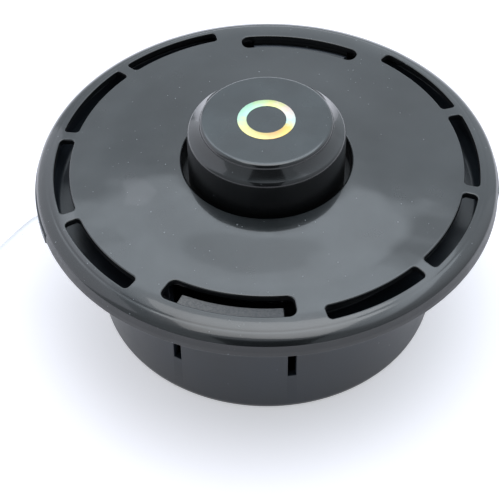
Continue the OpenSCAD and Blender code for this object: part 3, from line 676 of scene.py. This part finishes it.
def exitBlockPatch(size, turn):
    # a block on the wall with a round hole for the eyelet: rings blend from the hole's circle to the block's outline
    half, low, high = size["blockArc"] / 2, 35.0, 46.0
    b = np.radians(np.arange(64) * 360 / 64 + 2.8)
    radius, hole = size["blockRadius"], 2.85
    circle = np.stack([hole * np.cos(b), size["exitZ"] + hole * np.sin(b)], -1)
    # the outline in the unrolled face, across and up: the ray at b cut off at the block's sides
    wide = radius * math.radians(half)
    upRoom = np.where(np.sin(b) > 0, high - size["exitZ"], size["exitZ"] - low)
    cut = np.minimum(wide / np.maximum(np.abs(np.cos(b)), 1e-6), upRoom / np.maximum(np.abs(np.sin(b)), 1e-6))
    outline = np.stack([cut * np.cos(b), size["exitZ"] + cut * np.sin(b)], -1)
    inset = outline + (np.array([0, size["exitZ"]]) - outline) * 0.05
    rows = [(circle * 0 + [0, size["exitZ"]], radius - 4.4), (circle, radius - 4.4), (circle, radius)]
    rows += [(circle + (inset - circle) * share, radius) for share in (0.25, 0.5, 0.75, 1)]
    rows += [(inset + (outline - inset) * share, radius - 0.45 * drop) for share, drop in ((0.6, 0.25), (1, 1))]
    rows += [(outline, size["radius"] - 0.5), (outline * 0 + [0, size["exitZ"]], size["radius"] - 0.5)]
    points = []
    for flat, r in rows:
        ray = math.radians(turn) + flat[:, 0] / radius
        points.append(np.column_stack([r * np.cos(ray), r * np.sin(ray), flat[:, 1]]))
    return np.vstack(points), gridFaces(len(rows), len(b), True)


def drumPatches(size):
    outer, inner, edge, overlap = size["radius"], size["innerRadius"], size["edge"], size["overlap"]
    windowHalf, tongueHalf = size["slitTurn"] + size["slitArc"] / 2, size["slitTurn"] - size["slitArc"] / 2
    # away from the latches: foot, wall, tray and lip in one section
    whole = roundLoop(footCorners + [(outer, 37.3, 8), (61.5, 41.3, 3), (64.5, 45.3, 2)] + lipCorners
                      + [(outer, 47.8, 0.8), (outer, 57.9, 0.4), (inner, 57.9, 0.4)] + floorCorners, 5)
    patches = [ringPart(whole, middle, 180 - 2 * windowHalf, 140, edge) for middle in (0, 180)]
    lower = insetSection(roundLoop(footCorners + [(outer, size["slitZ"], 0.3), (inner, size["slitZ"], 0.3)] + floorCorners), 0.01)
    lip = insetSection(roundLoop([(66.8, 45.3, 0.3)] + lipCorners + [(66.8, 47.8, 0.3)]), 0.01)
    # a tongue steps out above the wall and ends under the slot
    tongue = roundLoop(footCorners + [(outer, 45, 1.5), (65.2, 48.5, 1.5), (65.2, 50.5, 0.4), (63.6, 50.5, 0.4),
                                      (63.6, 49.5, 1.0), (58.3, 46, 1.5), (58.3, 16, 0.3), (inner, 15.5, 0.3)] + floorCorners)
    for turn, middle, tip, arc, ramp in size["latches"]:
        for side in (-1, 1):
            patches.append(ringPart(lower, turn + side * size["slitTurn"], size["slitArc"] + 2 * overlap, 6))
        patches.append(ringPart(lip, turn, 2 * (windowHalf + overlap), 42))
        patches.append(ringPart(tongue, turn, 2 * tongueHalf, 36, edge))
        hook = roundLoop([(63.65, 49.4, 0.2), (65.15, 49.4, 0.2), (65.15, 56.1, 0.3), (tip, 56.1, 0.1), (tip, 57.9 - ramp, 0.2),
                          (tip - 1.6 * ramp, 57.9, 0.5), (size["hookInner"], 57.9, 0.4), (size["hookInner"], 55.5, 0.8),
                          (63.65, 54.5, 0.8)])
        patches.append(ringPart(hook, middle, arc, 30, edge))
    for turn in size["exitTurns"]:
        patches.append(exitBlockPatch(size, turn))
        guard = roundLoop([(76.2, 51, 0.2), (size["guardRadius"], 51, 0.5), (size["guardRadius"], 55, 0.5), (76.2, 55, 0.2)])
        patches.append(ringPart(guard, turn + size["guardShift"], size["guardArc"], 30, 0.4))
    patches.append(hubPatch(size))
    patches += [ribPatch((i + 0.5) * 360 / size["ribs"]) for i in range(size["ribs"])]
    # stops that catch the spool's lower lugs while the knob is down
    patches += [ringPart(roundLoop([(26, 5, 0), (31, 5, 0), (31, 12.5, 0.4), (26, 12.5, 0.4)]), turn, 6, 6, 0.3)
                for turn in (60, 150, 240, 330)]
    return patches


drumHousing = makePiece("drum", drumPatches(drum), drumNylon, "housing", replaces=["drum_housing"])
print("drum made:", len(drumHousing.data.polygons), "faces")


spring = {"meanRadius": 12.3, "wire": 1.8, "bottomZ": 23.0, "length": 22.9, "turns": 7, "pressedLength": 15.9}


def springPath(size):
    # one closed turn, open turns, one closed turn: the height climbs by the wire's thickness in the closed turns
    t = np.linspace(0, size["turns"], size["turns"] * 48 + 1)
    wire, length, turns = size["wire"], size["length"], size["turns"]
    knots, heights = [0, 1, turns - 1, turns], [0, wire, length - 2 * wire, length - wire]
    z = size["bottomZ"] + wire / 2 + np.interp(t, knots, heights)
    return np.stack([size["meanRadius"] * np.cos(2 * np.pi * t), size["meanRadius"] * np.sin(2 * np.pi * t), z], -1)


bumpSpring = makePiece("spring", [tube(springPath(spring), spring["wire"] / 2, 14)], springSteel, "housing",
                       replaces=["bump_spring"])
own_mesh(bumpSpring)

eyelet = {"bore": 1.7, "tube": 2.8, "flange": 4.1, "faceRadius": 65.0, "depth": 6.0, "z": 40.0}


def eyeletPatch(size, turn):
    # a pressed eyelet: a thin tube whose mouth rolls outwards to a flange, turned to lie along the exit's ray
    section = roundCorners([
        (size["bore"], 0, 0), (size["tube"], 0, 0.2), (size["tube"], size["depth"], 0), (size["flange"], size["depth"], 0.3),
        (size["flange"], size["depth"] + 0.9, 0.8), (size["bore"], size["depth"] + 0.9, 0.85), (size["bore"], 0, 0)], 8)
    points, faces = revolve(section, np.arange(48) * 360 / 48)
    ray = math.radians(turn)
    along, across = np.array([math.cos(ray), math.sin(ray), 0]), np.array([-math.sin(ray), math.cos(ray), 0])
    start = along * (size["faceRadius"] - size["depth"]) + np.array([0, 0, size["z"]])
    placed = start + points[:, 2:] * along + points[:, :1] * across + points[:, 1:2] * np.array([0, 0, 1])
    return placed, faces


for side, turn in (("left", 195), ("right", 15)):
    makePiece("eyelet_" + side, [eyeletPatch(eyelet, turn)], eyeletMetal, "housing",
              replaces=["line_eyelet_" + side])
print("spring and eyelets made")



nodeFinishes = {
    "line_spool": spoolBlack, "line_winding_upper": nylonLine,
    "line_winding_lower": nylonLine, "spring_washer_upper": zincSteel, "spring_washer_lower": zincSteel,
    "drive_nut": zincSteel, "nut_washer": zincSteel, "line_end_right": nylonLine,
}
for node, finish in nodeFinishes.items():
    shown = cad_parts[node]
    shown.data.materials.clear()
    shown.data.materials.append(finish)
print("finishes set on the frame's own pieces")



studio = {
    "floorSize": 6.0, "floorColour": "#eae8ef", "floorGlow": 0.41,
    "lamps": [
        # name, place, aim, width, height, watts, colour
        ("overhead", (0.0, 0.0, 1.05), (0, 0, 0.05), 0.7, 0.7, 2.8, "#ffffff"),
        ("left", (-0.95, 0.2, 0.50), (0, 0, 0.05), 1.4, 1.4, 4.2, "#f2f4ff"),
        ("right", (0.95, 0.2, 0.50), (0, 0, 0.05), 1.4, 1.4, 1.0, "#f2f4ff"),
    ],
    "worldColour": "#e3edf6", "worldStrength": 0.60,
    # the pale wall behind the head: turn, rise, reach and soft edge in degrees, and its added strength
    "wallPatch": (70.0, 45.0, 24.0, 34.0), "wallLevel": 0.55,
    # edges of lighter and darker bands of the sloping ceiling behind the head: height along its own up, half the edge's
    # width, added strength
    "ceilingUp": (-0.10, 0.0, 1.0), "ceilingSteps": [(0.7408, 0.012, 1.9), (0.857, 0.007, -0.85)],
    # a dark upright opening in front of the head: turn, half width and place across, top's rise, soft edge, strength left
    "opening": {"turn": 282.2, "across": 0.0, "half": 0.30, "topRise": 64.0, "soft": 0.02, "share": 0.11},
}

floorMesh = bpy.data.meshes.new("floor")
half = studio["floorSize"] / 2
floorMesh.from_pydata([(-half, -half, 0), (half, -half, 0), (half, half, 0), (-half, half, 0)], [], [(0, 1, 2, 3)])
floor = bpy.data.objects.new("floor", floorMesh)
scene.collection.objects.link(floor)
floorMaterial, tree = newMaterial("whitePaper")
paper = addNode(tree, "BsdfDiffuse", {"Color": linearColour(studio["floorColour"])})
light = addNode(tree, "LightPath")
seen = addNode(tree, "Math", {0: light.outputs["Is Camera Ray"], 1: light.outputs["Is Glossy Ray"]}, operation="MAXIMUM")
seenThrough = addNode(tree, "Math", {0: seen.outputs[0], 1: light.outputs["Is Transmission Ray"]}, operation="MAXIMUM")
glowLevel = addNode(tree, "Math", {0: seenThrough.outputs[0], 1: studio["floorGlow"]}, operation="MULTIPLY")
glow = addNode(tree, "Emission", {"Color": (1, 1, 1, 1), "Strength": glowLevel.outputs[0]})
both = addNode(tree, "AddShader", {0: paper.outputs["BSDF"], 1: glow.outputs["Emission"]})
addNode(tree, "OutputMaterial", {"Surface": both.outputs["Shader"]})
floorMesh.materials.append(floorMaterial)

for name, place, aim, width, height, watts, colour in studio["lamps"]:
    lampData = bpy.data.lights.new(name, "AREA")
    lampData.shape, lampData.size, lampData.size_y = "RECTANGLE", width, height
    lampData.energy, lampData.color = watts, linearColour(colour)[:3]
    lamp = bpy.data.objects.new(name, lampData)
    scene.collection.objects.link(lamp)
    lamp.location, lamp.visible_camera = place, False
    lamp.rotation_euler = (Vector(aim) - Vector(place)).to_track_quat("-Z", "Y").to_euler()

# the world is a pale room: a lighter wall and ceiling behind the head, and one dark opening in front of it
world = bpy.data.worlds.new("room")
scene.world = world
world.use_nodes = True
tree = world.node_tree
tree.nodes.clear()
direction = addNode(tree, "TexCoord").outputs["Generated"]
height = addNode(tree, "SeparateXYZ", {"Vector": direction}).outputs["Z"]


def patchOfRoom(turn, rise, reach, soft):
    # 1 inside a cone of directions, falling to 0 over a soft edge
    turn, rise = math.radians(turn), math.radians(rise)
    middle = (math.cos(rise) * math.cos(turn), math.cos(rise) * math.sin(turn), math.sin(rise))
    facing = addNode(tree, "VectorMath", {0: direction, 1: middle}, operation="DOT_PRODUCT")
    return addNode(tree, "MapRange", {"Value": facing.outputs["Value"], "From Min": math.cos(math.radians(reach + soft)),
                                      "From Max": math.cos(math.radians(reach))}).outputs["Result"]


wall = patchOfRoom(*studio["wallPatch"])
level = studio["wallLevel"]
ceilingHeight = addNode(tree, "VectorMath", {0: direction, 1: studio["ceilingUp"]}, operation="DOT_PRODUCT").outputs["Value"]
for edge, soft, gain in studio["ceilingSteps"]:
    above = addNode(tree, "MapRange", {"Value": ceilingHeight, "From Min": edge - soft, "From Max": edge + soft,
                                       "To Min": 0.0, "To Max": gain})
    level = addNode(tree, "Math", {0: above.outputs["Result"], 1: level}, operation="ADD").outputs[0]
lit = addNode(tree, "Math", {0: wall, 1: level, 2: studio["worldStrength"]}, operation="MULTIPLY_ADD")
# the opening: 0 where a direction's sideways part is within half of its middle, it faces the opening and is under its top
opening = studio["opening"]
ray = math.radians(opening["turn"])
sideways = addNode(tree, "VectorMath", {0: direction, 1: (-math.sin(ray), math.cos(ray), 0)}, operation="DOT_PRODUCT")
off = addNode(tree, "Math", {0: sideways.outputs["Value"], 1: opening["across"]}, operation="SUBTRACT")
beside = addNode(tree, "MapRange", {"Value": addNode(tree, "Math", {0: off.outputs[0]}, operation="ABSOLUTE").outputs[0],
                                    "From Min": opening["half"] - opening["soft"], "From Max": opening["half"]})
towards = addNode(tree, "VectorMath", {0: direction, 1: (math.cos(ray), math.sin(ray), 0)}, operation="DOT_PRODUCT")
behind = addNode(tree, "Math", {0: towards.outputs["Value"], 1: 0.0}, operation="LESS_THAN")
over = addNode(tree, "MapRange", {"Value": height, "From Min": math.sin(math.radians(opening["topRise"])) - opening["soft"],
                                  "From Max": math.sin(math.radians(opening["topRise"]))})
either = addNode(tree, "Math", {0: behind.outputs[0], 1: over.outputs["Result"]}, operation="MAXIMUM")
clear = addNode(tree, "Math", {0: either.outputs[0], 1: beside.outputs["Result"]}, operation="MAXIMUM")
dark = addNode(tree, "MapRange", {"Value": clear.outputs[0], "To Min": opening["share"], "To Max": 1.0})
strength = addNode(tree, "Math", {0: lit.outputs[0], 1: dark.outputs["Result"]}, operation="MULTIPLY")
room = addNode(tree, "Background", {"Color": linearColour(studio["worldColour"]), "Strength": strength.outputs[0]})
addNode(tree, "OutputWorld", {"Surface": room.outputs["Background"]})
print("studio made")
